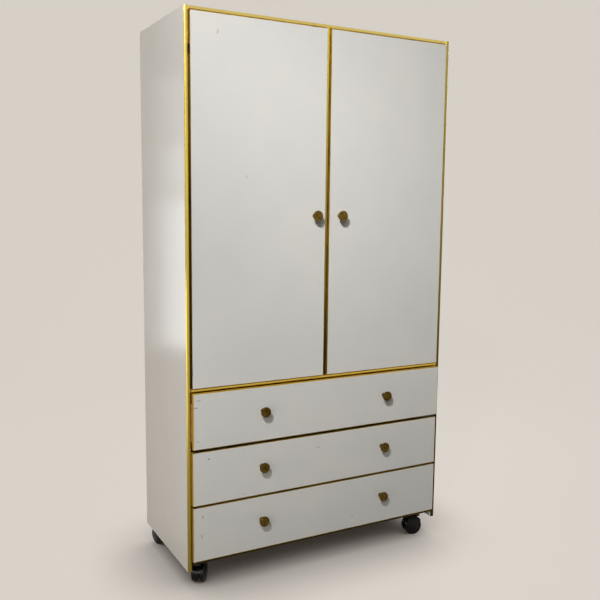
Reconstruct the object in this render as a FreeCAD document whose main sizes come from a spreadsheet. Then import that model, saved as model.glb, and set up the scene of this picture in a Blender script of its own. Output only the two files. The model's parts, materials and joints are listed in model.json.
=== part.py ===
"""Chifforobe on casters: two hanging compartments behind doors, over three full-width drawers.

Millimetres. +Z is up, the front faces -Y, and the origin is on the floor under the middle of the whole piece.
"""
import FreeCAD
import Part
import math
import os
import Sketcher

doc = FreeCAD.newDocument("chifforobe")
sheet = doc.addObject("Spreadsheet::Sheet", "Sizes")
nodes = {}


class Size:
    """A length with its value and its formula over the cells of the sheet."""

    def __init__(self, value, formula):
        self.value = value
        self.formula = formula

    def __add__(self, other):
        other = as_size(other)
        return Size(self.value + other.value, "(%s + %s)" % (self.formula, other.formula))

    def __sub__(self, other):
        other = as_size(other)
        return Size(self.value - other.value, "(%s - %s)" % (self.formula, other.formula))

    def __mul__(self, other):
        other = as_size(other)
        return Size(self.value * other.value, "(%s * %s)" % (self.formula, other.formula))

    def __truediv__(self, other):
        other = as_size(other)
        return Size(self.value / other.value, "(%s / %s)" % (self.formula, other.formula))

    def __neg__(self):
        return Size(-self.value, "(0 - %s)" % self.formula)

    def __radd__(self, other):
        return as_size(other) + self


def as_size(number):
    """Take a plain number as a size with a constant formula."""
    if isinstance(number, Size):
        return number
    return Size(float(number), "(%.9f)" % number)


def size(name, value):
    """Write one driving dimension into the sheet and give it back as a Size."""
    row = size.rows + 1
    sheet.set("A%d" % row, name)
    sheet.set("B%d" % row, str(value))
    sheet.setAlias("B%d" % row, name)
    size.rows = row
    return Size(float(value), "Sizes.%s" % name)


size.rows = 0

# Driving dimensions of the carcass
cabinet_width = size("cabinet_width", 988)
cabinet_depth = size("cabinet_depth", 430)
cabinet_height = size("cabinet_height", 1818)
board = size("board", 12)
upright = size("upright", 15)
partition_thick = size("partition_thick", 12)
back_sheet = size("back_sheet", 4)
caster_height = size("caster_height", 88)
side_drop = size("side_drop", 19)

# Doors and drawer fronts
front_thick = size("front_thick", 15)
door_proud = size("door_proud", 9)
drawer_proud = size("drawer_proud", 12)
top_drawer_out = size("top_drawer_out", 7)
reveal = size("reveal", 1.5)
door_side_gap = size("door_side_gap", 2)
drawer_side_gap = size("drawer_side_gap", 1)
drawer_front_height = size("drawer_front_height", 179)
middle_front_height = size("middle_front_height", 174)
drawer_gap = size("drawer_gap", 7)
edge_band = size("edge_band", 1)

# Half-round edging with a tongue in the board's edge
nose_depth = size("nose_depth", 3.5)
tongue_thick = size("tongue_thick", 2)
tongue_depth = size("tongue_depth", 8)
tongue_play = size("tongue_play", 0.1)

# Flared knobs
knob_reach = size("knob_reach", 26)
knob_face = size("knob_face", 34)
knob_base = size("knob_base", 17)
knob_rim = size("knob_rim", 6)
knob_rim_round = size("knob_rim_round", 1.5)
knob_flare = size("knob_flare", 26)
knob_stud = size("knob_stud", 4)
stud_play = size("stud_play", 0.1)
door_knob_inset = size("door_knob_inset", 40.5)
door_knob_height = size("door_knob_height", 1205)
drawer_knob_offset = size("drawer_knob_offset", 238)
drawer_knob_rise = size("drawer_knob_rise", 10)

# Concealed door hinges
hinge_end_gap = size("hinge_end_gap", 110)
hinge_inset = size("hinge_inset", 10)
hinge_set = size("hinge_set", 6)
pocket_length = size("pocket_length", 24)
pocket_height = size("pocket_height", 30)
pocket_skin = size("pocket_skin", 1.7)
cheek_thick = size("cheek_thick", 2)
cheek_width = size("cheek_width", 8)
cheek_play = size("cheek_play", 0.3)
arm_height = size("arm_height", 25)
arm_neck = size("arm_neck", 6.4)
arm_reach = size("arm_reach", 18.5)
arm_lean = size("arm_lean", 6.8)
arm_bridge = size("arm_bridge", 8)
arm_plate = size("arm_plate", 2)
arm_plate_length = size("arm_plate_length", 34)
arm_eye = size("arm_eye", 7)
pin_diameter = size("pin_diameter", 4)
pin_play = size("pin_play", 0.05)

# Drawer boxes and their runners
box_side = size("box_side", 12)
box_height = size("box_height", 120)
box_depth = size("box_depth", 395)
box_lift = size("box_lift", 20)
box_play = size("box_play", 2)
box_floor = size("box_floor", 4)
runner_height = size("runner_height", 16)
runner_depth = size("runner_depth", 6)
runner_play = size("runner_play", 0.3)
runner_setback = size("runner_setback", 24)
groove_setback = size("groove_setback", 14)
runner_screw_inset = size("runner_screw_inset", 55)

# Hanging rails, catches, dowels and screws
rail_diameter = size("rail_diameter", 25)
rail_wall = size("rail_wall", 1.5)
rail_drop = size("rail_drop", 60)
socket_rim = size("socket_rim", 5)
socket_depth = size("socket_depth", 12)
socket_floor = size("socket_floor", 3)
socket_play = size("socket_play", 0.2)
catch_width = size("catch_width", 46)
catch_height = size("catch_height", 14)
catch_length = size("catch_length", 24)
catch_offset = size("catch_offset", 14)
dowel_diameter = size("dowel_diameter", 6)
dowel_short = size("dowel_short", 8)
dowel_long = size("dowel_long", 20)
dowel_inset = size("dowel_inset", 55)
screw_diameter = size("screw_diameter", 3.5)
screw_head = size("screw_head", 7)
screw_head_thick = size("screw_head_thick", 1.8)
screw_bite = size("screw_bite", 9)

# Hooded twin-wheel casters
swivel_inset = size("swivel_inset", 34)
swivel_front = size("swivel_front", 40)
swivel_rear = size("swivel_rear", 57)
plate_side = size("plate_side", 58)
plate_thick = size("plate_thick", 2.5)
plate_hole_inset = size("plate_hole_inset", 7)
stem_diameter = size("stem_diameter", 10)
swivel_play = size("swivel_play", 0.3)
bore_play = size("bore_play", 0.06)
neck_diameter = size("neck_diameter", 24)
neck_floor = size("neck_floor", 2.5)
hood_web = size("hood_web", 10)
hood_width = size("hood_width", 38)
hood_thick = size("hood_thick", 3)
hood_play = size("hood_play", 1.5)
hood_taper = size("hood_taper", 26)
hub_reach = size("hub_reach", 9)
caster_trail = size("caster_trail", 22)
wheel_diameter = size("wheel_diameter", 65)
wheel_width = size("wheel_width", 15)
wheel_round = size("wheel_round", 2.5)
wheel_play = size("wheel_play", 0.5)
wheel_rim = size("wheel_rim", 7)
rim_groove = size("rim_groove", 1.5)
wheel_dome = size("wheel_dome", 4)
axle_diameter = size("axle_diameter", 6)
axle_seat = size("axle_seat", 12)

# Where each caster trails at rest, in degrees from +X
CASTER_YAW = {"front_left": 54, "front_right": 171, "rear_left": 107, "rear_right": 80}
# Where the hood and its web start and end round the axle, in degrees from the trailing side
HOOD_START = 50
HOOD_END = 165
WEB_END = 190
SIDES = {"left": -1, "right": 1}
DRAWERS = (1, 2, 3)

# Places that follow from the driving dimensions
half_width = cabinet_width / 2
inner_x = half_width - upright
front_reach = drawer_proud + top_drawer_out + knob_reach
front_y = (front_reach - cabinet_depth) / 2
back_y = front_y + cabinet_depth
board_depth = cabinet_depth - back_sheet
side_z = caster_height - side_drop
floor_z = caster_height + board
first_front_z = floor_z + reveal
drawer_pitch = drawer_front_height + drawer_gap
shelf_z = first_front_z + drawer_pitch * (len(DRAWERS) - 1) + drawer_front_height + reveal
shelf_top = shelf_z + board
top_z = cabinet_height - board
door_z = shelf_top + reveal
door_height = top_z - reveal - door_z
door_outer = inner_x - door_side_gap
door_inner = partition_thick / 2 + reveal
door_width = door_outer - door_inner
door_face_y = front_y - door_proud
drawer_half = inner_x - drawer_side_gap
hinge_x = door_outer - hinge_inset
hinge_y = door_face_y + hinge_set
door_back_y = door_face_y + front_thick


def formula(number):
    """The text that a property of the document is bound to."""
    return as_size(number).formula


def place(piece, corner, turn=FreeCAD.Rotation()):
    """Bind a piece's place to the sheet, with a fixed turn."""
    values = [as_size(number).value for number in corner]
    piece.Placement = FreeCAD.Placement(FreeCAD.Vector(*values), turn)
    for axis, number in zip("xyz", corner):
        piece.setExpression("Placement.Base." + axis, formula(number))
    return piece


def box(name, corner, span):
    """A block from its lowest corner and its three lengths."""
    piece = doc.addObject("Part::Box", name)
    for side, number in zip(("Length", "Width", "Height"), span):
        piece.setExpression(side, formula(number))
    return place(piece, corner)


def side_box(name, side, inner, outer, y, z, depth, height):
    """A block between two distances from the middle plane, on the left (-1) or the right (1)."""
    low = inner if side > 0 else -outer
    return box(name, (low, y, z), (outer - inner, depth, height))


ALONG_X = FreeCAD.Rotation(FreeCAD.Vector(0, 1, 0), 90)
ALONG_Y = FreeCAD.Rotation(FreeCAD.Vector(1, 0, 0), -90)
ALONG_Z = FreeCAD.Rotation()
ALONG_TRAIL = FreeCAD.Vector(1, 0, 0)


def rod(name, base, radius, length, turn=ALONG_Z):
    """A round bar from the middle of its base, along +Z unless it is turned."""
    piece = doc.addObject("Part::Cylinder", name)
    piece.setExpression("Radius", formula(radius))
    piece.setExpression("Height", formula(length))
    return place(piece, base, turn)


def group(name, pieces):
    """Separate solids kept together."""
    piece = doc.addObject("Part::Compound", name)
    piece.Links = pieces
    return piece


def cut(name, base, tools):
    """One solid less others that don't meet each other."""
    piece = doc.addObject("Part::Cut", name)
    piece.Base = base
    piece.Tool = tools[0] if len(tools) == 1 else group(name + "_tools", tools)
    return piece


def fuse(name, pieces):
    """Several solids joined into one."""
    piece = doc.addObject("Part::MultiFuse", name)
    piece.Shapes = pieces
    piece.Refine = True
    return piece


def node(name, piece):
    """Name a finished sub-part."""
    piece.Label = name
    nodes[name] = piece
    return piece


def outlined_body(name, points, arcs):
    """A body with one closed outline; arcs gives (radius, bulge side) for the runs that are round."""
    body = doc.addObject("PartDesign::Body", name)
    plane = next(item for item in body.Origin.OriginFeatures if item.Role == "XY_Plane")
    sketch = body.newObject("Sketcher::SketchObject", name + "_outline")
    sketch.AttachmentSupport = (plane, [""])
    sketch.MapMode = "FlatFace"
    corners = [FreeCAD.Vector(as_size(x).value, as_size(y).value, 0) for x, y in points]
    ends = []
    for run, start in enumerate(corners):
        stop = corners[(run + 1) % len(corners)]
        if run in arcs:
            ends.append(add_arc(sketch, start, stop, *arcs[run]))
        else:
            sketch.addGeometry(Part.LineSegment(start, stop), False)
            ends.append((1, 2))
    for run in range(len(points)):
        following = (run + 1) % len(points)
        meeting = Sketcher.Constraint("Coincident", run, ends[run][1], following, ends[following][0])
        sketch.addConstraint(meeting)
    for run, (x, y) in enumerate(points):
        for kind, number in (("DistanceX", as_size(x)), ("DistanceY", as_size(y))):
            index = sketch.addConstraint(Sketcher.Constraint(kind, -1, 1, run, ends[run][0], number.value))
            sketch.setExpression("Constraints[%d]" % index, number.formula)
    for run, arc in arcs.items():
        radius = arc[0]
        index = sketch.addConstraint(Sketcher.Constraint("Radius", run, radius.value))
        sketch.setExpression("Constraints[%d]" % index, radius.formula)
    return body, sketch


def add_arc(sketch, start, stop, radius, bulge):
    """An arc that bulges to the left (1) or right (-1) of its run; gives the ends' numbers in run order."""
    chord = stop - start
    left = FreeCAD.Vector(-chord.y, chord.x, 0).normalize()
    half = chord.Length / 2
    sag = radius.value - math.sqrt(radius.value ** 2 - half ** 2)
    middle = (start + stop) / 2 + left * (bulge * sag)
    if bulge < 0:
        sketch.addGeometry(Part.Arc(start, middle, stop), False)
        return 1, 2
    sketch.addGeometry(Part.Arc(stop, middle, start), False)
    return 2, 1


def padded(name, points, length, arcs=None):
    """An outline in the body's XY plane, pushed along its +Z."""
    body, sketch = outlined_body(name, points, arcs or {})
    pad = body.newObject("PartDesign::Pad", name + "_pad")
    pad.Profile = sketch
    pad.setExpression("Length", formula(length))
    return body


def turned(name, points, arcs=None):
    """An outline of radius and height, turned about the body's Y axis."""
    body, sketch = outlined_body(name, points, arcs or {})
    turn = body.newObject("PartDesign::Revolution", name + "_turn")
    turn.Profile = sketch
    turn.ReferenceAxis = (sketch, ["V_Axis"])
    turn.Angle = 360
    return body


# Dowels and screws, which are also the tools that cut their holes
side_dowels = {"left": [], "right": []}
board_dowels = {"top_panel": [], "middle_shelf": [], "bottom_panel": [], "centre_partition": []}
dowel_rows = (front_y + dowel_inset, front_y + board_depth / 2, front_y + board_depth - dowel_inset)
all_dowels = []
for board_name, z in (("top_panel", top_z), ("middle_shelf", shelf_z), ("bottom_panel", caster_height)):
    for side_name, side in SIDES.items():
        for row, y in enumerate(dowel_rows):
            base_x = inner_x - dowel_long if side > 0 else -inner_x - dowel_short
            dowel = rod("%s_%s_dowel_%d" % (side_name, board_name, row), (base_x, y, z + board / 2),
                        dowel_diameter / 2, dowel_long + dowel_short, ALONG_X)
            side_dowels[side_name].append(dowel)
            board_dowels[board_name].append(dowel)
            all_dowels.append(dowel)
for board_name, base_z in (("top_panel", top_z - dowel_long), ("middle_shelf", shelf_top - dowel_short)):
    for row, y in enumerate(dowel_rows):
        dowel = rod("partition_%s_dowel_%d" % (board_name, row), (as_size(0), y, base_z),
                    dowel_diameter / 2, dowel_long + dowel_short)
        board_dowels["centre_partition"].append(dowel)
        board_dowels[board_name].append(dowel)
        all_dowels.append(dowel)
node("carcass_dowels", group("dowel_set", all_dowels))

all_screws = []
side_screws = {"left": [], "right": []}


def side_screw(name, side_name, head_x, y, z):
    """A screw through a fitting whose face is head_x from the middle plane, into a side panel."""
    side = SIDES[side_name]
    length = inner_x + screw_bite - head_x
    shank_x = head_x if side > 0 else -head_x - length
    head_low = head_x - screw_head_thick if side > 0 else -head_x
    shank = rod(name + "_shank", (shank_x, y, z), screw_diameter / 2, length, ALONG_X)
    head = rod(name + "_head", (head_low, y, z), screw_head / 2, screw_head_thick, ALONG_X)
    all_screws.append(fuse(name, [shank, head]))
    side_screws[side_name].append(shank)
    return shank


# Concealed hinges: a bent arm on the side panel, a pin, and a bracket let into the door
door_hinge_z = {
    "low": door_z + hinge_end_gap,
    "middle": door_z + door_height / 2,
    "high": door_z + door_height - hinge_end_gap,
}
hinge_arms = []
hinge_pins = []
hinge_cups = {"left": [], "right": []}
door_pockets = {"left": [], "right": []}
wall_gap = inner_x - hinge_x
arm_back = arm_reach + arm_bridge
arm_outline = (
    (-arm_neck / 2, as_size(0)),
    (arm_neck / 2, as_size(0)),
    (arm_neck / 2 + arm_lean, arm_reach),
    (arm_neck / 2 + arm_lean, arm_back),
    (arm_plate - wall_gap, arm_back),
    (arm_plate - wall_gap, arm_reach + arm_plate_length),
    (-wall_gap, arm_reach + arm_plate_length),
    (-wall_gap, arm_reach),
    (arm_neck / 2, arm_reach),
)
arm_screw_rows = (arm_back + screw_head, arm_reach + arm_plate_length - screw_head)
cheek_reach = pocket_length - hinge_inset
for side_name, side in SIDES.items():
    for level, z in door_hinge_z.items():
        name = "%s_%s" % (side_name, level)
        pivot = (hinge_x * side, hinge_y)
        low_z = z - arm_height / 2
        outline = [(x * -side, y) for x, y in arm_outline]
        if side > 0:
            outline.reverse()
        arm = padded(name + "_arm", outline, arm_height)
        place(arm, (pivot[0], pivot[1], low_z))
        eye = rod(name + "_arm_eye", (pivot[0], pivot[1], low_z), arm_eye / 2, arm_height)
        pin_length = arm_height + (cheek_play + cheek_thick) * 2
        pin = rod(name + "_pin", (pivot[0], pivot[1], z - pin_length / 2), pin_diameter / 2, pin_length)
        holes = [pin]
        for row, offset in enumerate(arm_screw_rows):
            shank = side_screw("%s_hinge_screw_%d" % (name, row), side_name,
                               inner_x - arm_plate, hinge_y + offset, z)
            holes.append(shank)
        hinge_arms.append(cut(name + "_arm_drilled", fuse(name + "_arm_eyed", [arm, eye]), holes))
        hinge_pins.append(pin)
        cheek_low = hinge_x - cheek_reach
        cheeks = [side_box(name + "_cup_plate", side, cheek_low, cheek_low + cheek_thick,
                           hinge_y - cheek_width / 2, z - pin_length / 2, cheek_width, pin_length)]
        for end, cheek_z in (("under", z - pin_length / 2), ("over", z + arm_height / 2 + cheek_play)):
            cheeks.append(side_box(name + "_cheek_" + end, side, cheek_low, hinge_x,
                                   hinge_y - cheek_width / 2, cheek_z, cheek_width, cheek_thick))
            cheeks.append(rod(name + "_cheek_round_" + end, (pivot[0], pivot[1], cheek_z),
                              cheek_width / 2, cheek_thick))
        bore = rod(name + "_cup_bore", (pivot[0], pivot[1], z - pocket_height / 2),
                   pin_diameter / 2 + pin_play, pocket_height)
        hinge_cups[side_name].append(cut(name + "_cup", fuse(name + "_cup_blank", cheeks), [bore]))
        door_pockets[side_name].append(
            side_box(name + "_pocket", side, door_outer - pocket_length, door_outer + door_side_gap,
                     door_face_y + pocket_skin, z - pocket_height / 2, front_thick, pocket_height))
node("hinge_arms", group("hinge_arm_set", hinge_arms))
node("hinge_pins", group("hinge_pin_set", hinge_pins))

# Runners on the side panels, one pair for each drawer; drawer 1 is the top one
drawer_z = {number: first_front_z + drawer_pitch * (len(DRAWERS) - number) for number in DRAWERS}
runner_mid = box_lift + box_floor + box_height / 2
runner_inner = inner_x - box_play - runner_depth + runner_play
runner_length = board_depth - runner_setback
runner_screw_rows = (runner_setback + runner_screw_inset, board_depth - runner_screw_inset * 2)
runners = []
for number in DRAWERS:
    for side_name, side in SIDES.items():
        name = "%s_runner_%d" % (side_name, number)
        z = drawer_z[number] + runner_mid
        strip = side_box(name, side, runner_inner, inner_x, front_y + runner_setback,
                         z - runner_height / 2, runner_length, runner_height)
        sinks = []
        for row, offset in enumerate(runner_screw_rows):
            screw_name = "%s_screw_%d" % (name, row)
            sunk_x = runner_inner + screw_head_thick
            sinks.append(side_screw(screw_name, side_name, sunk_x, front_y + offset, z))
            low = runner_inner if side > 0 else -sunk_x
            sinks.append(rod(screw_name + "_sink", (low, front_y + offset, z),
                             screw_head / 2, screw_head_thick, ALONG_X))
        runners.append(cut(name + "_drilled", strip, sinks))
node("drawer_runners", group("runner_set", runners))

# Caster plates with their stems, screwed under the bottom panel
swivels = {}
for end, swivel_y in (("front", front_y + swivel_front), ("rear", back_y - swivel_rear)):
    for side_name, side in SIDES.items():
        swivels["%s_%s" % (end, side_name)] = ((inner_x - swivel_inset) * side, swivel_y)
plate_z = caster_height - plate_thick
neck_z = wheel_diameter
neck_top = plate_z - swivel_play
stem_z = neck_z + neck_floor + swivel_play
hole_reach = plate_side / 2 - plate_hole_inset
plates = []
plate_screws = []
for name, (x, y) in swivels.items():
    plate = box(name + "_plate", (x - plate_side / 2, y - plate_side / 2, plate_z),
                (plate_side, plate_side, plate_thick))
    stem = rod(name + "_stem", (x, y, stem_z), stem_diameter / 2, plate_z - stem_z)
    holes = []
    for corner, (across, along) in enumerate(((-1, -1), (-1, 1), (1, -1), (1, 1))):
        spot = (x + hole_reach * across, y + hole_reach * along)
        shank = rod("%s_screw_%d_shank" % (name, corner), (spot[0], spot[1], plate_z),
                    screw_diameter / 2, plate_thick + screw_bite)
        screw_top = rod("%s_screw_%d_head" % (name, corner), (spot[0], spot[1], plate_z - screw_head_thick),
                        screw_head / 2, screw_head_thick)
        all_screws.append(fuse("%s_screw_%d" % (name, corner), [shank, screw_top]))
        holes.append(shank)
        plate_screws.append(shank)
    plates.append(cut(name + "_plate_drilled", fuse(name + "_plate_stemmed", [plate, stem]), holes))
node("caster_plates", group("caster_plate_set", plates))
node("fixing_screws", group("screw_set", all_screws))

# Carcass boards, each with a groove along its front edge for the edging's tongue
groove_height = tongue_thick + tongue_play * 2
groove_depth = tongue_depth + tongue_play
for side_name, side in SIDES.items():
    name = side_name + "_side_panel"
    height = cabinet_height - side_z
    blank = side_box(name + "_board", side, inner_x, half_width, front_y, side_z, cabinet_depth, height)
    groove = side_box(name + "_groove", side, half_width - upright / 2 - groove_height / 2,
                      half_width - upright / 2 + groove_height / 2, front_y, side_z, groove_depth, height)
    node(name, cut(name, blank, [groove] + side_dowels[side_name] + side_screws[side_name]))

flat_boards = {"top_panel": top_z, "middle_shelf": shelf_z, "bottom_panel": caster_height}
board_holes = dict(board_dowels)
board_holes["bottom_panel"] = board_dowels["bottom_panel"] + plate_screws
for name, z in flat_boards.items():
    blank = box(name + "_board", (-inner_x, front_y, z), (inner_x * 2, board_depth, board))
    groove = box(name + "_groove", (-inner_x, front_y, z + board / 2 - groove_height / 2),
                 (inner_x * 2, groove_depth, groove_height))
    node(name, cut(name, blank, [groove] + board_holes[name]))

partition_height = top_z - shelf_top
partition_blank = box("partition_board", (-partition_thick / 2, front_y, shelf_top),
                      (partition_thick, board_depth, partition_height))
partition_groove = box("partition_groove", (-groove_height / 2, front_y, shelf_top),
                       (groove_height, groove_depth, partition_height))
node("centre_partition",
     cut("centre_partition", partition_blank, [partition_groove] + board_dowels["centre_partition"]))
node("back_panel", box("back_panel", (-inner_x, back_y - back_sheet, caster_height),
                       (inner_x * 2, back_sheet, cabinet_height - caster_height)))

# Half-round edging: a nose in front of the board's edge and a tongue in its groove
LYING = FreeCAD.Rotation(FreeCAD.Vector(0, 1, 0), -90)


def edging(name, thick, base, length, turn):
    """A strip of edging for a board's thickness, from the middle of its base, standing or lying."""
    outline = (
        (-thick / 2, as_size(0)),
        (thick / 2, as_size(0)),
        (tongue_thick / 2, as_size(0)),
        (tongue_thick / 2, tongue_depth),
        (-tongue_thick / 2, tongue_depth),
        (-tongue_thick / 2, as_size(0)),
    )
    nose_radius = (thick * thick / 4 + nose_depth * nose_depth) / (nose_depth * 2)
    strip = padded(name, outline, length, {0: (nose_radius, -1)})
    return node(name, place(strip, base, turn))


for side_name, side in SIDES.items():
    edging(side_name + "_side_edging", upright, ((half_width - upright / 2) * side, front_y, side_z),
           cabinet_height - side_z, ALONG_Z)
for name, z in (("top_edging", top_z), ("shelf_edging", shelf_z), ("bottom_edging", caster_height)):
    edging(name, board, (inner_x, front_y, z + board / 2), inner_x * 2, LYING)
edging("partition_edging", partition_thick, (as_size(0), front_y, shelf_top), partition_height, ALONG_Z)

# Hanging rails in end sockets, and a catch behind each door's free top corner
rail_y = front_y + board_depth / 2
rail_z = top_z - rail_drop
rail_start = partition_thick / 2 + socket_floor
rail_length = inner_x - socket_floor - rail_start
socket_outer = rail_diameter / 2 + socket_rim
rails = []
sockets = []
catches = []
for side_name, side in SIDES.items():
    low = rail_start if side > 0 else -rail_start - rail_length
    tube = rod(side_name + "_rail_outside", (low, rail_y, rail_z), rail_diameter / 2, rail_length, ALONG_X)
    hollow = rod(side_name + "_rail_inside", (low, rail_y, rail_z),
                 rail_diameter / 2 - rail_wall, rail_length, ALONG_X)
    rails.append(cut(side_name + "_rail", tube, [hollow]))
    for end, inner, recess in (("wall", inner_x - socket_depth, inner_x - socket_depth),
                               ("partition", partition_thick / 2, rail_start)):
        name = "%s_%s_socket" % (side_name, end)
        cup_low = inner if side > 0 else -inner - socket_depth
        recess_length = socket_depth - socket_floor
        recess_low = recess if side > 0 else -recess - recess_length
        cup = rod(name + "_cup", (cup_low, rail_y, rail_z), socket_outer, socket_depth, ALONG_X)
        seat = rod(name + "_seat", (recess_low, rail_y, rail_z),
                   rail_diameter / 2 + socket_play, recess_length, ALONG_X)
        sockets.append(cut(name, cup, [seat]))
    catches.append(side_box(side_name + "_catch", side, partition_thick / 2 + catch_offset,
                            partition_thick / 2 + catch_offset + catch_width, door_back_y,
                            top_z - catch_height, catch_length, catch_height))
node("hanging_rails", group("rail_set", rails))
node("rail_sockets", group("socket_set", sockets))
node("door_catches", group("catch_set", catches))

# Knob: a stud through the front, a flared neck and a flat face with a rounded rim
knob_outline = (
    (as_size(0), front_thick),
    (as_size(0), -knob_reach),
    (knob_face / 2 - knob_rim_round, -knob_reach),
    (knob_face / 2, knob_rim_round - knob_reach),
    (knob_face / 2, knob_rim - knob_reach),
    (knob_base / 2, as_size(0)),
    (knob_stud / 2, as_size(0)),
    (knob_stud / 2, front_thick),
)


def knob(name, x, face_y, z):
    """One knob on a front whose face is at face_y."""
    return place(turned(name, knob_outline, {2: (knob_rim_round, -1), 4: (knob_flare, 1)}), (x, face_y, z))


def stud_hole(name, x, face_y, z):
    """The hole for a knob's stud, right through a front."""
    return rod(name, (x, face_y, z), knob_stud / 2 + stud_play, front_thick, ALONG_Y)


def banded_front(name, low_x, face_y, low_z, width, height, holes, pockets):
    """A front board and the band round its four edges."""
    outer = box(name + "_outer", (low_x, face_y, low_z), (width, front_thick, height))
    inner = box(name + "_inner", (low_x + edge_band, face_y, low_z + edge_band),
                (width - edge_band * 2, front_thick, height - edge_band * 2))
    cuts = holes + pockets
    panel = cut(name + "_panel", inner, cuts)
    ring = cut(name + "_ring", outer, [inner])
    band = cut(name + "_band", ring, pockets) if pockets else ring
    return panel, band


# Doors
for side_name, side in SIDES.items():
    name = side_name + "_door"
    low_x = door_inner if side > 0 else -door_outer
    knob_x = (door_inner + door_knob_inset) * side
    hole = stud_hole(name + "_stud_hole", knob_x, door_face_y, door_knob_height)
    panel, band = banded_front(name, low_x, door_face_y, door_z, door_width, door_height,
                               [hole], door_pockets[side_name])
    node(name + "_panel", panel)
    node(name + "_edging", band)
    node(name + "_knob", knob(name + "_knob", knob_x, door_face_y, door_knob_height))
    node(name + "_hinge_cups", group(name + "_hinge_cups", hinge_cups[side_name]))

# Drawers; the middle front is a little lower, which leaves a wider gap under the top one
front_heights = {1: drawer_front_height, 2: middle_front_height, 3: drawer_front_height}
box_outer = inner_x - box_play
box_inner = box_outer - box_side
for number in DRAWERS:
    name = "drawer_%d" % number
    out = top_drawer_out if number == 1 else as_size(0)
    face_y = front_y - drawer_proud - out
    low_z = drawer_z[number]
    height = front_heights[number]
    knob_z = low_z + height / 2 + drawer_knob_rise
    knobs = []
    holes = []
    for side_name, side in SIDES.items():
        knob_x = drawer_knob_offset * side
        knobs.append(knob("%s_%s_knob" % (name, side_name), knob_x, face_y, knob_z))
        holes.append(stud_hole("%s_%s_stud_hole" % (name, side_name), knob_x, face_y, knob_z))
    panel, band = banded_front(name, -drawer_half, face_y, low_z, drawer_half * 2, height, holes, [])
    node(name + "_front", panel)
    node(name + "_edging", band)
    node(name + "_knobs", group(name + "_knob_set", knobs))
    box_y = face_y + front_thick
    floor_low = low_z + box_lift
    wall_z = floor_low + box_floor
    walls = []
    for side_name, side in SIDES.items():
        wall = side_box("%s_%s_wall" % (name, side_name), side, box_inner, box_outer,
                        box_y, wall_z, box_depth, box_height)
        groove = side_box("%s_%s_groove" % (name, side_name), side, box_outer - runner_depth, box_outer,
                          box_y + groove_setback, wall_z + box_height / 2 - runner_height / 2 - runner_play,
                          box_depth - groove_setback, runner_height + runner_play * 2)
        walls.append(cut("%s_%s_side" % (name, side_name), wall, [groove]))
    node(name + "_sides", group(name + "_side_set", walls))
    node(name + "_back", box(name + "_back", (-box_inner, box_y + box_depth - box_side, wall_z),
                             (box_inner * 2, box_side, box_height)))
    node(name + "_bottom", box(name + "_bottom", (-box_outer, box_y, floor_low),
                               (box_outer * 2, box_depth, box_floor)))

# Casters: a hood that swivels on the stem, and two wheels pressed on one axle that turns in the hood's web
axle_z = wheel_diameter / 2
hood_inner = wheel_diameter / 2 + hood_play
hood_outer = hood_inner + hood_thick


def round_axle(radius, degrees):
    """A point round the axle, from the swivel's line along the trail and up."""
    angle = math.radians(degrees)
    return caster_trail + radius * math.cos(angle), axle_z + radius * math.sin(angle)


web_outline = (
    round_axle(hood_outer, HOOD_START),
    round_axle(hood_outer, WEB_END),
    (caster_trail - hub_reach, axle_z - hub_reach),
    (caster_trail + hub_reach, axle_z - hub_reach),
)
hood_outline = (
    round_axle(hood_outer, HOOD_START),
    round_axle(hood_outer, HOOD_END),
    round_axle(hood_inner, HOOD_END),
    round_axle(hood_inner, HOOD_START),
)
inner_face = hood_web / 2 + wheel_play
rim_face = inner_face + wheel_width
rim_inner = wheel_diameter / 2 - wheel_rim
dome_edge = rim_inner - rim_groove
dome_radius = (dome_edge * dome_edge + wheel_dome * wheel_dome) / (wheel_dome * 2)
wheel_outline = (
    (axle_diameter / 2, inner_face),
    (wheel_diameter / 2 - wheel_round, inner_face),
    (wheel_diameter / 2, inner_face + wheel_round),
    (wheel_diameter / 2, rim_face - wheel_round),
    (wheel_diameter / 2 - wheel_round, rim_face),
    (rim_inner, rim_face),
    (rim_inner, rim_face - rim_groove),
    (dome_edge, rim_face - rim_groove),
    (dome_edge, rim_face),
    (as_size(0), rim_face + wheel_dome),
    (as_size(0), inner_face + axle_seat),
    (axle_diameter / 2, inner_face + axle_seat),
)
wheel_arcs = {1: (wheel_round, -1), 3: (wheel_round, -1), 8: (dome_radius, -1)}


def hood_side_cut(name, base, side, turn):
    """The wedge that narrows the hood towards its lower front, on one side of the web."""
    outline = [
        (hood_web / 2 * side, axle_z),
        (hood_width / 2 * side, axle_z),
        (hood_width / 2 * side, axle_z + hood_taper),
    ]
    if side < 0:
        outline.reverse()
    return place(padded(name, outline, hood_outer * 2), base, turn)


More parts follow.
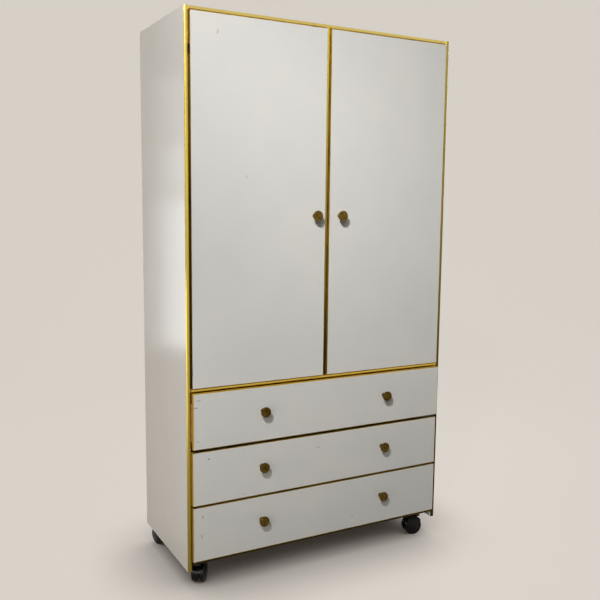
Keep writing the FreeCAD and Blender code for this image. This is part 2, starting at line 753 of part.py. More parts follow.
for name, (x, y) in swivels.items():
    yaw = CASTER_YAW[name]
    along = (math.cos(math.radians(yaw)), math.sin(math.radians(yaw)))
    across = (-along[1], along[0])
    heading = FreeCAD.Rotation(FreeCAD.Vector(0, 0, 1), yaw)
    standing = heading.multiply(FreeCAD.Rotation(FreeCAD.Vector(1, 0, 0), 90))
    facing = heading.multiply(FreeCAD.Rotation(FreeCAD.Vector(0, 0, 1), 90)).multiply(
        FreeCAD.Rotation(FreeCAD.Vector(1, 0, 0), 90))
    sideways = heading.multiply(ALONG_Y)
    axle_x = x + caster_trail * along[0]
    axle_y = y + caster_trail * along[1]
    neck = rod(name + "_neck", (x, y, neck_z), neck_diameter / 2, neck_top - neck_z)
    web = place(padded(name + "_web", web_outline, hood_web, {0: (hood_outer, -1)}),
                (x + hood_web / 2 * across[0], y + hood_web / 2 * across[1], as_size(0)), standing)
    cover_blank = padded(name + "_cover", hood_outline, hood_width, {0: (hood_outer, -1), 2: (hood_inner, 1)})
    cover = place(cover_blank, (x + hood_width / 2 * across[0], y + hood_width / 2 * across[1], as_size(0)),
                  standing)
    wedge_x = x + (caster_trail - hood_outer) * along[0]
    wedge_y = y + (caster_trail - hood_outer) * along[1]
    wedges = [hood_side_cut("%s_wedge_%s" % (name, side_name), (wedge_x, wedge_y, as_size(0)), side, facing)
              for side_name, side in SIDES.items()]
    tapered = cut(name + "_tapered_cover", cover, wedges)
    axle_start = (axle_x - hood_width / 2 * across[0], axle_y - hood_width / 2 * across[1], axle_z)
    axle_bore = rod(name + "_axle_bore", axle_start, axle_diameter / 2 + bore_play, hood_width, sideways)
    stem_bore = rod(name + "_stem_bore", (x, y, stem_z - swivel_play),
                    stem_diameter / 2 + bore_play, neck_top - stem_z + swivel_play)
    node(name + "_caster_hood",
         cut(name + "_hood", fuse(name + "_hood_blank", [neck, web, tapered]), [axle_bore, stem_bore]))
    axle_half = inner_face + axle_seat
    axle_base = (axle_x - axle_half * across[0], axle_y - axle_half * across[1], axle_z)
    node(name + "_caster_axle", rod(name + "_axle", axle_base, axle_diameter / 2, axle_half * 2, sideways))
    wheels = []
    for side_name, turn in (("near", heading), ("far", heading.multiply(FreeCAD.Rotation(ALONG_TRAIL, 180)))):
        wheel = turned("%s_%s_wheel" % (name, side_name), wheel_outline, wheel_arcs)
        wheels.append(place(wheel, (axle_x, axle_y, axle_z), turn))
    node(name + "_caster_wheels", group(name + "_wheel_set", wheels))

doc.recompute()
for item in doc.Objects:
    if "Invalid" in item.State or "Error" in item.State:
        raise RuntimeError("failed: %s %s" % (item.Name, item.State))
for name, piece in nodes.items():
    if piece.Shape.isNull() or not piece.Shape.isValid() or not piece.Shape.Solids:
        raise RuntimeError("bad shape: " + name)

os.makedirs("parts", exist_ok=True)
for name, piece in nodes.items():
    piece.Shape.exportStep("parts/%s.step" % name)
    print(name, len(piece.Shape.Solids), round(piece.Shape.Volume))
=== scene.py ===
"""Looks of the white chifforobe: facings, gold edging, brass knobs, casters, studio light and camera."""
import json
import math

import bpy
from mathutils import Matrix, Vector


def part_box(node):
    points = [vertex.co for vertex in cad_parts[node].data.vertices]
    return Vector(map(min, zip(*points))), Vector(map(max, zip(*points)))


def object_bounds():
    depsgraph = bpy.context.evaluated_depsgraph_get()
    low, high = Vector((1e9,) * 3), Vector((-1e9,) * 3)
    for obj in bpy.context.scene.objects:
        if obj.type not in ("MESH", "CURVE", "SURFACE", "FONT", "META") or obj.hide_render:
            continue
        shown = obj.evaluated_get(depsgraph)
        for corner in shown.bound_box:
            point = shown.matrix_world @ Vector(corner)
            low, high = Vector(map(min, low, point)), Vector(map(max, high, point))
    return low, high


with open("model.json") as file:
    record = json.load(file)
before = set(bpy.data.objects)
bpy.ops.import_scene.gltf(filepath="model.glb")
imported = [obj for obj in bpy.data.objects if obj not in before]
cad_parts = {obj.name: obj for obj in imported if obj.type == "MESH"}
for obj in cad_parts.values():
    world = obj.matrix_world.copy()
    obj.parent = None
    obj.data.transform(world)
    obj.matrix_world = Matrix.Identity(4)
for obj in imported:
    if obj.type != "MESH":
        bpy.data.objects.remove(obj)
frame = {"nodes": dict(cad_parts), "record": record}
nodes = frame["nodes"]
CAD_LOW, CAD_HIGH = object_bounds()
MM = 0.001

# Camera: the image is square, so its width stands for both sides
IMAGE_SIZE = 600
FOCAL_PIXELS = 761.17
SENSOR_MM = 36.0
CAMERA_PLACE = Vector((-1.2917, -2.3901, 1.2387))
CAMERA_YAW = math.radians(28.57)
CAMERA_PITCH = math.radians(7.09)
CAMERA_ROLL = math.radians(0.60)

# The range in which most values of a noise pattern lie
NOISE_LOW = 0.3
NOISE_HIGH = 0.7


def srgb(red, green, blue):
    """A colour as a screen shows it, 0 to 255, as the linear values that shaders take."""
    def linear(value):
        share = value / 255.0
        if share <= 0.04045:
            return share / 12.92
        return ((share + 0.055) / 1.055) ** 2.4
    return (linear(red), linear(green), linear(blue), 1.0)


class Shader:
    """A material's nodes, added and linked one at a time."""

    def __init__(self, name):
        self.material = bpy.data.materials.new(name)
        self.material.use_nodes = True
        self.tree = self.material.node_tree
        self.surface = self.tree.nodes["Principled BSDF"]
        self.place = self.add("ShaderNodeTexCoord").outputs["Object"]

    def add(self, kind, **settings):
        item = self.tree.nodes.new(kind)
        for key, value in settings.items():
            setattr(item, key, value)
        return item

    def link(self, source, target):
        self.tree.links.new(source, target)

    def feed(self, socket, value):
        """Link an output to a socket, or write a plain value on it."""
        if isinstance(value, bpy.types.NodeSocket):
            self.link(value, socket)
        else:
            socket.default_value = value

    def set(self, **values):
        """Plain values on the surface shader's own sockets."""
        for key, value in values.items():
            self.surface.inputs[key.replace("_", " ")].default_value = value

    def drive(self, socket, output):
        self.link(output, self.surface.inputs[socket])

    def scaled(self, x, y, z):
        """The surface's place with each axis stretched."""
        mapping = self.add("ShaderNodeMapping")
        self.link(self.place, mapping.inputs["Vector"])
        mapping.inputs["Scale"].default_value = (x, y, z)
        return mapping.outputs["Vector"]

    def noise(self, scale, detail=4.0, roughness=0.55, place=None):
        item = self.add("ShaderNodeTexNoise")
        self.link(place or self.place, item.inputs["Vector"])
        item.inputs["Scale"].default_value = scale
        item.inputs["Detail"].default_value = detail
        item.inputs["Roughness"].default_value = roughness
        return item.outputs["Fac"]

    def span(self, value, low, high, to_low=0.0, to_high=1.0):
        """Stretch a range of values onto another, held at its ends."""
        item = self.add("ShaderNodeMapRange", clamp=True)
        self.feed(item.inputs["Value"], value)
        for key, number in (("From Min", low), ("From Max", high), ("To Min", to_low), ("To Max", to_high)):
            item.inputs[key].default_value = number
        return item.outputs["Result"]

    def math(self, operation, first, second=0.0):
        item = self.add("ShaderNodeMath", operation=operation)
        self.feed(item.inputs[0], first)
        self.feed(item.inputs[1], second)
        return item.outputs["Value"]

    def mix(self, share, first, second):
        """A colour between two, by a share from 0 to 1."""
        item = self.add("ShaderNodeMix", data_type="RGBA")
        self.feed(item.inputs[0], share)
        self.feed(item.inputs[6], first)
        self.feed(item.inputs[7], second)
        return item.outputs[2]

    def axes(self):
        item = self.add("ShaderNodeSeparateXYZ")
        self.link(self.place, item.inputs["Vector"])
        return item.outputs["X"], item.outputs["Y"], item.outputs["Z"]

    def seen_rays(self):
        """1 for rays from the camera, gloss and glass, and 0 for rays that light other things."""
        path = self.add("ShaderNodeLightPath").outputs
        return self.math("MAXIMUM", self.math("MAXIMUM", path["Is Camera Ray"], path["Is Glossy Ray"]),
                         path["Is Transmission Ray"])

    def seen_as(self, colour, shade, reach, share, enclosed=0.15, clear=0.95, samples=16):
        """Let a backdrop be seen partly as an even colour, with painted shade where things within reach
        enclose it.
        """
        glow = self.add("ShaderNodeEmission")
        near = self.add("ShaderNodeAmbientOcclusion", samples=samples)
        near.inputs["Distance"].default_value = reach
        # Painted shade: the seen colour darkens where nearby things enclose the surface
        tint = self.mix(self.span(near.outputs["AO"], enclosed, clear), shade, colour)
        self.link(tint, glow.inputs["Color"])
        blend = self.add("ShaderNodeMixShader")
        self.link(self.math("MULTIPLY", self.seen_rays(), share), blend.inputs["Fac"])
        self.link(self.surface.outputs["BSDF"], blend.inputs[1])
        self.link(glow.outputs["Emission"], blend.inputs[2])
        self.link(blend.outputs["Shader"], self.tree.nodes["Material Output"].inputs["Surface"])

    def roughen(self, pattern, smooth, rough):
        """Roughness between two values, by a noise pattern."""
        self.drive("Roughness", self.span(pattern, NOISE_LOW, NOISE_HIGH, smooth, rough))

    def bump(self, height, depth, strength):
        """Surface relief, with its depth in metres."""
        item = self.add("ShaderNodeBump")
        item.inputs["Strength"].default_value = strength
        item.inputs["Distance"].default_value = depth
        self.link(height, item.inputs["Height"])
        self.drive("Normal", item.outputs["Normal"])


def box_spans(low, high):
    """A box's length along each axis."""
    return [high[axis] - low[axis] for axis in range(3)]


def edge_distance(shader, low, high):
    """How far a point on a board's face lies from the nearest of its four edges, in metres."""
    places = shader.axes()
    spans = box_spans(low, high)
    gaps = []
    for axis in range(3):
        if axis != spans.index(min(spans)):
            gaps.append(shader.math("SUBTRACT", places[axis], low[axis]))
            gaps.append(shader.math("SUBTRACT", high[axis], places[axis]))
    nearest = gaps[0]
    for gap in gaps[1:]:
        nearest = shader.math("MINIMUM", nearest, gap)
    return nearest


WHITE = srgb(226, 227, 224)
WHITE_COOL = srgb(219, 221, 220)
WHITE_WORN = srgb(196, 188, 172)
SCUFF = srgb(120, 108, 92)
WORN_RIM = 6.0 * MM
FLECK_SHARE = 0.55

# How worn each board is, from 0 to 1
FRONT_WEAR = {"drawer_1_front": 0.9, "drawer_2_front": 1.0, "drawer_3_front": 1.0}
DOOR_WEAR = 0.45
CARCASS_WEAR = 0.35

# A facing's roughness, and how far smears change it
SIDE_GLOSS = (0.15, 0.02)
BOARD_GLOSS = (0.36, 0.07)

# Old knocks and scratches on the fronts, in metres: place across and up, half width, half height,
# and then the share of the scuff's colour
MARKS = {
    "left_door_panel": [(-0.389, 1.750, 0.004, 0.007, 0.35), (-0.293, 1.326, 0.003, 0.006, 0.30)],
    "drawer_1_front": [(-0.470, 0.609, 0.006, 0.003, 0.60), (-0.461, 0.632, 0.009, 0.0025, 0.40),
                       (-0.463, 0.500, 0.005, 0.003, 0.35)],
    "drawer_2_front": [(-0.425, 0.436, 0.005, 0.0035, 0.60), (-0.026, 0.417, 0.012, 0.0022, 0.35),
                       (-0.300, 0.300, 0.007, 0.002, 0.30)],
    "drawer_3_front": [(-0.446, 0.248, 0.003, 0.006, 0.55), (-0.450, 0.185, 0.003, 0.007, 0.45),
                       (0.120, 0.145, 0.010, 0.002, 0.30)],
}


def knocked(shader, tint, marks):
    """A facing's colour with ragged grey marks at their places."""
    x, _, z = shader.axes()
    ragged = shader.span(shader.noise(scale=420.0, detail=5.0, roughness=0.7), 0.25, 0.75, -0.7, 0.7)
    for across, up, half_width, half_height, share in marks:
        wide = shader.math("DIVIDE", shader.math("SUBTRACT", x, across), half_width)
        high = shader.math("DIVIDE", shader.math("SUBTRACT", z, up), half_height)
        reach = shader.math("SQRT", shader.math("ADD", shader.math("MULTIPLY", wide, wide),
                                                shader.math("MULTIPLY", high, high)))
        cover = shader.span(shader.math("ADD", reach, ragged), 0.5, 1.1, share, 0.0)
        tint = shader.mix(cover, tint, SCUFF)
    return tint


def white_board(name, low, high, wear, gloss, marks):
    """White melamine facing: faint clouding, a fine pebble, marks, and wear that gathers along the edges."""
    shader = Shader(name)
    clouds = shader.span(shader.noise(scale=2.6, detail=5.0), 0.35, 0.68)
    tint = shader.mix(clouds, WHITE, WHITE_COOL)
    rim = shader.span(edge_distance(shader, low, high), 0.0, WORN_RIM, 1.0, 0.0)
    chips = shader.span(shader.noise(scale=210.0, detail=6.0, roughness=0.65), 0.60, 0.67)
    worn = shader.math("MULTIPLY", shader.math("MULTIPLY", rim, chips), wear)
    tint = shader.mix(worn, tint, WHITE_WORN)
    specks = shader.span(shader.noise(scale=330.0, detail=2.0, roughness=0.5), 0.77, 0.80)
    patches = shader.span(shader.noise(scale=7.0, detail=3.0), 0.52, 0.62)
    flecks = shader.math("MULTIPLY", shader.math("MULTIPLY", specks, patches), FLECK_SHARE * wear)
    tint = knocked(shader, shader.mix(flecks, tint, SCUFF), marks)
    shader.drive("Base Color", tint)
    smears = shader.noise(scale=9.0, detail=6.0, roughness=0.62, place=shader.scaled(1.0, 1.0, 0.45))
    roughness, smear = gloss
    shader.roughen(smears, roughness - smear, roughness + smear)
    shader.set(Specular_IOR_Level=0.5)
    pebble = shader.noise(scale=420.0, detail=3.0, roughness=0.5)
    shader.bump(pebble, depth=0.06 * MM, strength=0.35)
    return shader.material


GOLD = srgb(250, 230, 116)
GOLD_DEEP = srgb(228, 198, 84)
GOLD_WORN = srgb(168, 134, 56)
# Painted shade and a painted highlight, which the gold takes by height
GOLD_PAINTED_SHADE = srgb(58, 46, 11)
GOLD_PAINTED_HIGHLIGHT = srgb(255, 247, 205)

# How much painted shade darkens each moulding, or how much a painted highlight pales it where it is below 0,
# at its lower and upper end
EDGING_PAINTED_LIGHT = {
    "left_side_edging": (0.75, -0.25),
    "partition_edging": (1.1, 0.05),
    "right_side_edging": (1.2, 0.4),
    "top_edging": (-0.2, -0.2),
    "shelf_edging": (0.15, 0.15),
    "bottom_edging": (1.0, 1.0),
}


def gold_edging(name, low, high, painted_light_ends):
    """Gold foil on a half-round moulding: lengthwise streaks, dull patches, and painted shade or a painted
    highlight along its length.
    """
    shader = Shader(name)
    spans = box_spans(low, high)
    stretch = [420.0, 420.0, 420.0]
    stretch[spans.index(max(spans))] = 3.0
    streaks = shader.noise(scale=1.0, detail=5.0, place=shader.scaled(*stretch))
    tint = shader.mix(shader.span(streaks, NOISE_LOW, NOISE_HIGH), GOLD_DEEP, GOLD)
    dull = shader.span(shader.noise(scale=30.0, detail=6.0, roughness=0.62), 0.60, 0.72, 0.0, 0.30)
    tint = shader.mix(dull, tint, GOLD_WORN)
    lower_painted_light, upper_painted_light = painted_light_ends
    height = shader.axes()[2]
    # Painted shade darkens the gold towards the ends that lie in shade, and a painted highlight pales it where
    # the share is below 0
    painted_shade = shader.span(height, low.z, high.z, lower_painted_light, upper_painted_light)
    painted_highlight = shader.math("MULTIPLY", painted_shade, -1.0)
    tint = shader.mix(shader.math("MAXIMUM", painted_shade, 0.0), tint, GOLD_PAINTED_SHADE)
    tint = shader.mix(shader.math("MAXIMUM", painted_highlight, 0.0), tint, GOLD_PAINTED_HIGHLIGHT)
    shader.drive("Base Color", tint)
    shader.roughen(shader.noise(scale=45.0, detail=5.0), 0.15, 0.24)
    shader.set(Metallic=1.0)
    shader.bump(streaks, depth=0.03 * MM, strength=0.10)
    return shader.material


BAND_OLIVE = srgb(188, 160, 62)
BAND_BROWN = srgb(150, 124, 46)
# A painted highlight on the band's edges that face the light, less metallic there
BAND_PAINTED_HIGHLIGHT = srgb(214, 176, 70)
BAND_EDGE_NEAR = 1.0 * MM
BAND_EDGE_FAR = 3.0 * MM
BAND_METALLIC = 0.7
BAND_HIGHLIGHT_METALLIC = 0.15

# How much painted highlight each front's band takes, or painted shade where it is below 0:
# half way up and at the top of its left edge, and along its top edge
BAND_PAINTED_LIGHT = {
    "left_door_edging": (-0.8, 0.0, 0.0),
    "right_door_edging": (0.0, 0.0, 0.0),
    "drawer_1_edging": (0.7, 0.7, 1.0),
    "drawer_2_edging": (0.7, 0.7, 0.4),
    "drawer_3_edging": (0.4, 0.4, 0.0),
}


def front_band(name, low, high, painted_sides):
    """The dark gold band round a front's edges, brown in places, with painted highlight and painted shade at
    its left and top edges.
    """
    shader = Shader(name)
    patches = shader.span(shader.noise(scale=9.0, detail=5.0), 0.36, 0.70)
    tint = shader.mix(patches, BAND_OLIVE, BAND_BROWN)
    left_middle_light, left_top_light, top_light = painted_sides
    across, _, height = shader.axes()
    from_left = shader.math("SUBTRACT", across, low.x)
    from_top = shader.math("SUBTRACT", high.z, height)
    on_left = shader.span(from_left, BAND_EDGE_NEAR, BAND_EDGE_FAR, 1.0, 0.0)
    left_painted = shader.span(height, (low.z + high.z) / 2, high.z, left_middle_light, left_top_light)
    left = shader.math("MULTIPLY", on_left, left_painted)
    top = shader.span(from_top, BAND_EDGE_NEAR, BAND_EDGE_FAR, top_light, 0.0)
    # Painted highlight where a share above 0 lies on the left or top edge, and painted shade where the left
    # share is below 0
    painted_lit = shader.math("MAXIMUM", shader.math("MAXIMUM", left, top), 0.0)
    painted_dark = shader.math("MAXIMUM", shader.math("MULTIPLY", left, -1.0), 0.0)
    tint = shader.mix(painted_dark, tint, GOLD_PAINTED_SHADE)
    shader.drive("Base Color", shader.mix(painted_lit, tint, BAND_PAINTED_HIGHLIGHT))
    shader.drive("Metallic", shader.span(painted_lit, 0.0, 1.0, BAND_METALLIC, BAND_HIGHLIGHT_METALLIC))
    shader.roughen(shader.noise(scale=80.0), 0.28, 0.46)
    shader.bump(shader.noise(scale=500.0, detail=3.0), depth=0.05 * MM, strength=0.4)
    return shader.material


# Brass where it is bare, and under its patina; the drawer knobs' brass is darker, as painted shade
DOOR_BRASS = (srgb(132, 108, 46), srgb(84, 67, 24))
SHADED_DRAWER_BRASS = (srgb(102, 82, 32), srgb(62, 48, 15))


def aged_brass(name, bare, darkened):
    """Olive-brown brass with a darker patina and a fine grain."""
    shader = Shader(name)
    patina = shader.span(shader.noise(scale=95.0, detail=6.0, roughness=0.6), 0.38, 0.66)
    shader.drive("Base Color", shader.mix(patina, bare, darkened))
    shader.roughen(shader.noise(scale=240.0, detail=5.0), 0.24, 0.40)
    shader.set(Metallic=1.0)
    shader.bump(shader.noise(scale=900.0, detail=3.0), depth=0.05 * MM, strength=0.35)
    return shader.material


SOFTWOOD = srgb(214, 184, 142)
SOFTWOOD_RING = srgb(190, 154, 108)
SOFTWOOD_GRAIN = srgb(150, 112, 70)


def plain_wood():
    """Sanded softwood with grain from front to back."""
    shader = Shader("sanded_softwood")
    grain = shader.noise(scale=1.0, detail=8.0, roughness=0.62, place=shader.scaled(70.0, 7.0, 130.0))
    growth = shader.noise(scale=1.0, detail=3.0, roughness=0.5, place=shader.scaled(16.0, 1.6, 30.0))
    tint = shader.mix(shader.span(growth, 0.35, 0.66), SOFTWOOD, SOFTWOOD_RING)
    tint = shader.mix(shader.span(grain, 0.50, 0.74, 0.0, 0.5), tint, SOFTWOOD_GRAIN)
    shader.drive("Base Color", tint)
    shader.roughen(grain, 0.52, 0.70)
    shader.bump(grain, depth=0.2 * MM, strength=0.35)
    return shader.material


HARDBOARD = srgb(148, 112, 76)
HARDBOARD_DARK = srgb(118, 86, 56)


def hardboard():
    """Smooth brown hardboard with short fibres."""
    shader = Shader("brown_hardboard")
    fibres = shader.noise(scale=1.0, detail=7.0, roughness=0.66, place=shader.scaled(180.0, 180.0, 90.0))
    shader.drive("Base Color", shader.mix(shader.span(fibres, 0.34, 0.68), HARDBOARD, HARDBOARD_DARK))
    shader.roughen(fibres, 0.42, 0.62)
    shader.bump(fibres, depth=0.15 * MM, strength=0.4)
    return shader.material


ZINC = srgb(196, 197, 198)
ZINC_DULL = srgb(164, 166, 168)


def plated_steel():
    """Zinc-plated steel, lightly brushed."""
    shader = Shader("plated_steel")
    brushing = shader.noise(scale=1.0, detail=6.0, roughness=0.6, place=shader.scaled(40.0, 700.0, 700.0))
    shader.drive("Base Color", shader.mix(shader.span(brushing, NOISE_LOW, NOISE_HIGH), ZINC, ZINC_DULL))
    shader.roughen(brushing, 0.22, 0.38)
    shader.set(Metallic=1.0)
    shader.bump(brushing, depth=0.04 * MM, strength=0.4)
    return shader.material


LACQUER = srgb(150, 118, 60)
LACQUER_DARK = srgb(120, 92, 46)


def brown_lacquer():
    """Golden brown lacquered steel with darker blotches."""
    shader = Shader("brown_lacquer")
    blotches = shader.span(shader.noise(scale=150.0, detail=6.0, roughness=0.62), 0.56, 0.72)
    shader.drive("Base Color", shader.mix(blotches, LACQUER, LACQUER_DARK))
    shader.roughen(shader.noise(scale=220.0), 0.30, 0.46)
    shader.set(Metallic=0.6)
    shader.bump(shader.noise(scale=700.0, detail=3.0), depth=0.05 * MM, strength=0.35)
    return shader.material


BLACK_PAINT = srgb(24, 24, 25)
PAINT_RUBBED = srgb(58, 56, 53)


def black_paint():
    """Black painted steel with rubbed spots."""
    shader = Shader("black_paint")
    rubbed = shader.span(shader.noise(scale=120.0, detail=6.0, roughness=0.65), 0.60, 0.72)
    shader.drive("Base Color", shader.mix(rubbed, BLACK_PAINT, PAINT_RUBBED))
    shader.roughen(shader.noise(scale=160.0), 0.34, 0.52)
    shader.bump(shader.noise(scale=700.0, detail=3.0), depth=0.08 * MM, strength=0.4)
    return shader.material


BLACK_NYLON = srgb(5, 5, 6)
NYLON_SCUFF = srgb(26, 25, 24)


def black_nylon():
    """Glossy black nylon hoods and wheels, with dusty scuffs."""
    shader = Shader("black_nylon")
    scuffs = shader.span(shader.noise(scale=140.0, detail=7.0, roughness=0.66), 0.58, 0.76)
    shader.drive("Base Color", shader.mix(scuffs, BLACK_NYLON, NYLON_SCUFF))
    shader.drive("Roughness", shader.span(scuffs, 0.0, 1.0, 0.16, 0.45))
    shader.set(Specular_IOR_Level=0.2)
    shader.bump(shader.noise(scale=600.0), depth=0.06 * MM, strength=0.3)
    return shader.material


PLASTIC = srgb(222, 220, 212)
PLASTIC_DULL = srgb(204, 201, 192)


def inner_plastic():
    """Off-white moulded plastic with a fine texture."""
    shader = Shader("moulded_plastic")
    mottle = shader.span(shader.noise(scale=60.0), 0.35, 0.68)
    shader.drive("Base Color", shader.mix(mottle, PLASTIC, PLASTIC_DULL))
    shader.roughen(shader.noise(scale=300.0, detail=3.0), 0.40, 0.55)
    shader.bump(shader.noise(scale=800.0, detail=3.0), depth=0.06 * MM, strength=0.4)
    return shader.material


def dress(names, material):
    """Give nodes one material in place of what they came with."""
    for name in names:
        nodes[name].data.materials.clear()
        nodes[name].data.materials.append(material)


def slot_nodes(slot):
    """The nodes that the record puts in one material slot."""
    return [part["node"] for part in frame["record"]["subparts"] if part["material_slot"] == slot]


# Surfaces of every node
for name in slot_nodes("white_board"):
    low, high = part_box(name)
    wear = FRONT_WEAR.get(name, DOOR_WEAR if "door" in name else CARCASS_WEAR)
    gloss = SIDE_GLOSS if name.endswith("side_panel") else BOARD_GLOSS
    dress([name], white_board("white_" + name, low, high, wear, gloss, MARKS.get(name, [])))
for name in slot_nodes("gold_edging"):
    low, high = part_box(name)
    dress([name], gold_edging("gold_" + name, low, high, EDGING_PAINTED_LIGHT[name]))
for name in slot_nodes("front_band"):
    low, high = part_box(name)
    dress([name], front_band("band_" + name, low, high, BAND_PAINTED_LIGHT[name]))
knobs = slot_nodes("knob_brass")
dress([name for name in knobs if "door" in name], aged_brass("door_brass", *DOOR_BRASS))
# The drawer knobs take a darker copy of the same brass, which is painted shade
dress([name for name in knobs if "drawer" in name], aged_brass("drawer_brass_painted_shade", *SHADED_DRAWER_BRASS))
dress(slot_nodes("raw_wood"), plain_wood())
dress(slot_nodes("hardboard"), hardboard())
dress(slot_nodes("steel"), plated_steel())
dress(slot_nodes("caster_metal"), black_paint())
dress(slot_nodes("caster_plastic"), black_nylon())
dress(slot_nodes("hinge_metal"), brown_lacquer())
dress(slot_nodes("inner_plastic"), inner_plastic())

# Softened edges, so that boards, bands and casters catch the light
EDGE_ROUND = {"white_board": 0.35 * MM, "front_band": 0.25 * MM, "caster_plastic": 0.6 * MM}
EDGE_SEGMENTS = 2
EDGE_ANGLE = math.radians(40)
for slot, width in EDGE_ROUND.items():
    for name in slot_nodes(slot):
        bevel = nodes[name].modifiers.new("softened_edges", "BEVEL")
        bevel.width = width
        bevel.segments = EDGE_SEGMENTS
        bevel.limit_method = "ANGLE"
        bevel.angle_limit = EDGE_ANGLE
        bevel.harden_normals = True

# The floor and wall as they take light, and the even colour and painted shade that they are seen in
FLOOR = srgb(136, 129, 122)
FLOOR_PATCH = srgb(131, 124, 117)
FLOOR_SEEN = srgb(238, 231, 222)
FLOOR_PAINTED_SHADE = srgb(54, 47, 42)
SHADE_REACH = 0.32
SEEN_SHARE = 0.78


def pale_floor():
    """An even pale floor with painted shade near the cabinet."""
    shader = Shader("pale_floor")
    patches = shader.span(shader.noise(scale=1.3, detail=3.0), 0.35, 0.65)
    shader.drive("Base Color", shader.mix(patches, FLOOR, FLOOR_PATCH))
    shader.set(Roughness=0.6, Specular_IOR_Level=0.2)
    shader.seen_as(FLOOR_SEEN, FLOOR_PAINTED_SHADE, SHADE_REACH, SEEN_SHARE)
    return shader.material


def sweep_backdrop():
    """A floor that curves up into a wall behind the cabinet."""
    half_width = 9.0
    floor_reach = 6.0
    wall_y = 3.2
    wall_top = 6.0
    curve_radius = 1.2
    curve_steps = 16
    profile = [(-floor_reach, 0.0)]
    for step in range(curve_steps + 1):
        angle = math.pi / 2 * step / curve_steps
        profile.append((wall_y - curve_radius + curve_radius * math.sin(angle),
                        curve_radius - curve_radius * math.cos(angle)))
    profile.append((wall_y, wall_top))
    points = [(x, y, z) for y, z in profile for x in (-half_width, half_width)]
    faces = [(2 * i, 2 * i + 1, 2 * i + 3, 2 * i + 2) for i in range(len(profile) - 1)]
    mesh = bpy.data.meshes.new("backdrop")
    mesh.from_pydata(points, [], faces)
    for face in mesh.polygons:
        face.use_smooth = True
    mesh.materials.append(pale_floor())
    backdrop = bpy.data.objects.new("backdrop", mesh)
    bpy.context.scene.collection.objects.link(backdrop)


def lamp(name, place, target, span, power, tint, spread=180.0, gloss_only=False):
    """An area light, span wide and high, aimed at a point. With gloss_only it shows in gloss alone."""
    light = bpy.data.lights.new(name, "AREA")
    light.shape = "RECTANGLE"
    light.size, light.size_y = span
    light.energy = power
    light.color = tint
    light.spread = math.radians(spread)
    holder = bpy.data.objects.new(name, light)
    bpy.context.scene.collection.objects.link(holder)
    holder.location = place
    holder.rotation_euler = (Vector(target) - Vector(place)).to_track_quat("-Z", "Y").to_euler()
    holder.visible_camera = False
    holder.visible_diffuse = not gloss_only


WARM_WHITE = (1.0, 0.97, 0.93)
COOL_WHITE = (0.94, 0.97, 1.0)
WALL_BEIGE = (1.0, 0.54, 0.24)

# White cards that show in the gloss of the left side, one on another, fading upwards:
# middle height, own height and share of the glow, which is in watts for each square metre
SIDE_CARDS = ((0.66, 1.22, 1.0), (1.455, 0.37, 0.55), (1.87, 0.46, 0.28))
CARD_X = -1.66
CARD_Y = 2.7
CARD_WIDTH = 0.45
CARD_GLOW = 7.7


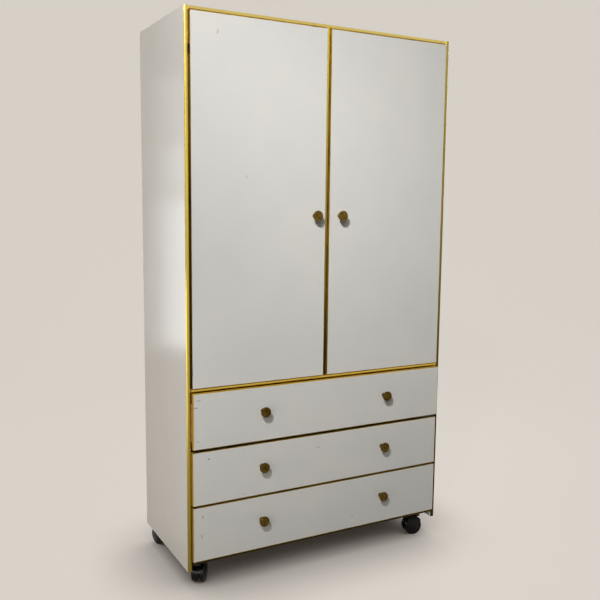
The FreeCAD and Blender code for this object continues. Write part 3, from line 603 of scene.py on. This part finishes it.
def light_scene():
    """A hard and a soft key from the upper left front, weak fills, lamps for the left side, and one behind."""
    middle = (CAD_LOW + CAD_HIGH) / 2
    left_side = Vector((CAD_LOW.x, 0.0, 1.05))
    upper_front = Vector((-0.02, CAD_LOW.y, 1.48))
    lower_left = Vector((-0.5, -0.15, 0.3))
    lamp("key_light", place=(-2.6, -3.0, 3.7), target=upper_front, span=(0.25, 0.25), power=14.6,
         tint=WARM_WHITE, spread=50.0)
    lamp("soft_light", place=(-1.8, -3.3, 3.3), target=upper_front, span=(2.2, 2.2), power=3.0,
         tint=WARM_WHITE, spread=36.0)
    lamp("fill_light", place=middle + Vector((-1.4, -3.6, 1.1)), target=middle, span=(2.0, 2.0), power=1.3,
         tint=COOL_WHITE)
    lamp("low_light", place=(-1.35, -0.85, 0.5), target=lower_left, span=(0.8, 0.8), power=1.0,
         tint=WARM_WHITE, spread=80.0)
    for height, tall, share in SIDE_CARDS:
        lamp("side_card", place=(CARD_X, CARD_Y, height), target=left_side, span=(CARD_WIDTH, tall),
             power=CARD_GLOW * CARD_WIDTH * tall * share, tint=COOL_WHITE, gloss_only=True)
    lamp("wall_glow", place=(-3.2, 0.9, 1.2), target=left_side, span=(1.5, 2.0), power=6.5, tint=WALL_BEIGE)
    lamp("back_light", place=(2.3, 2.1, 2.0), target=(0.3, 0.1, 1.0), span=(1.6, 1.6), power=20.0,
         tint=WARM_WHITE, spread=110.0)


# The world beyond the backdrop: its colour, how much it lights, and how bright it is seen
SURROUND = (1.0, 0.938, 0.853, 1.0)
SURROUND_LIGHT = 0.055
SURROUND_SEEN = 0.68


def surround():
    """A world as pale as the backdrop to the camera and in gloss, which adds little light."""
    world = bpy.data.worlds.new("surround")
    world.use_nodes = True
    tree = world.node_tree
    background = tree.nodes["Background"]
    background.inputs["Color"].default_value = SURROUND
    path = tree.nodes.new("ShaderNodeLightPath")
    seen = tree.nodes.new("ShaderNodeMath")
    seen.operation = "MAXIMUM"
    tree.links.new(path.outputs["Is Camera Ray"], seen.inputs[0])
    tree.links.new(path.outputs["Is Glossy Ray"], seen.inputs[1])
    level = tree.nodes.new("ShaderNodeMapRange")
    level.inputs["To Min"].default_value = SURROUND_LIGHT
    level.inputs["To Max"].default_value = SURROUND_SEEN
    tree.links.new(seen.outputs["Value"], level.inputs["Value"])
    tree.links.new(level.outputs["Result"], background.inputs["Strength"])
    bpy.context.scene.world = world


def place_camera():
    """A camera at the photograph's viewing angle."""
    ahead = Vector((math.sin(CAMERA_YAW) * math.cos(CAMERA_PITCH),
                    math.cos(CAMERA_YAW) * math.cos(CAMERA_PITCH), -math.sin(CAMERA_PITCH)))
    level = ahead.cross(Vector((0, 0, 1))).normalized()
    upward = level.cross(ahead)
    right = level * math.cos(CAMERA_ROLL) + upward * math.sin(CAMERA_ROLL)
    up = upward * math.cos(CAMERA_ROLL) - level * math.sin(CAMERA_ROLL)
    data = bpy.data.cameras.new("camera")
    data.sensor_width = SENSOR_MM
    data.lens = FOCAL_PIXELS / IMAGE_SIZE * SENSOR_MM
    camera = bpy.data.objects.new("camera", data)
    bpy.context.scene.collection.objects.link(camera)
    turn = Matrix((right, up, -ahead)).transposed().to_4x4()
    camera.matrix_world = Matrix.Translation(CAMERA_PLACE) @ turn
    bpy.context.scene.camera = camera


sweep_backdrop()
light_scene()
surround()
place_camera()
bpy.context.scene.view_settings.view_transform = "Standard"
